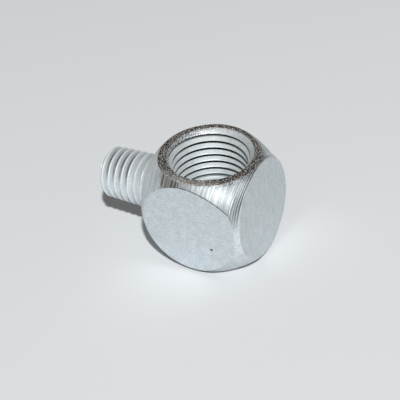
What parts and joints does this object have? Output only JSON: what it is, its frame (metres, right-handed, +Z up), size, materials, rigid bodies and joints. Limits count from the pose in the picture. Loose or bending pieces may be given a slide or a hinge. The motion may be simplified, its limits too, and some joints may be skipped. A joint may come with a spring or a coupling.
{
  "type": "pipe thread elbow adapter",
  "caption": "Right-angle fitting machined from square bar: a turned ball with flats, a short male thread on one side and a tapped, countersunk pipe port on top.",
  "frame": {"origin": "where the female port's axis crosses the male thread's axis", "axes": "+Z up along the female port, out of its mouth; -X along the male thread, out of its free end"},
  "size_m": [0.0206, 0.0126, 0.0126],
  "materials": {
    "zinc_plated_steel": "bright zinc plating over machined steel"
  },
  "bodies": {
    "root": {"adapter_body": "zinc_plated_steel"}
  },
  "joints": []
}
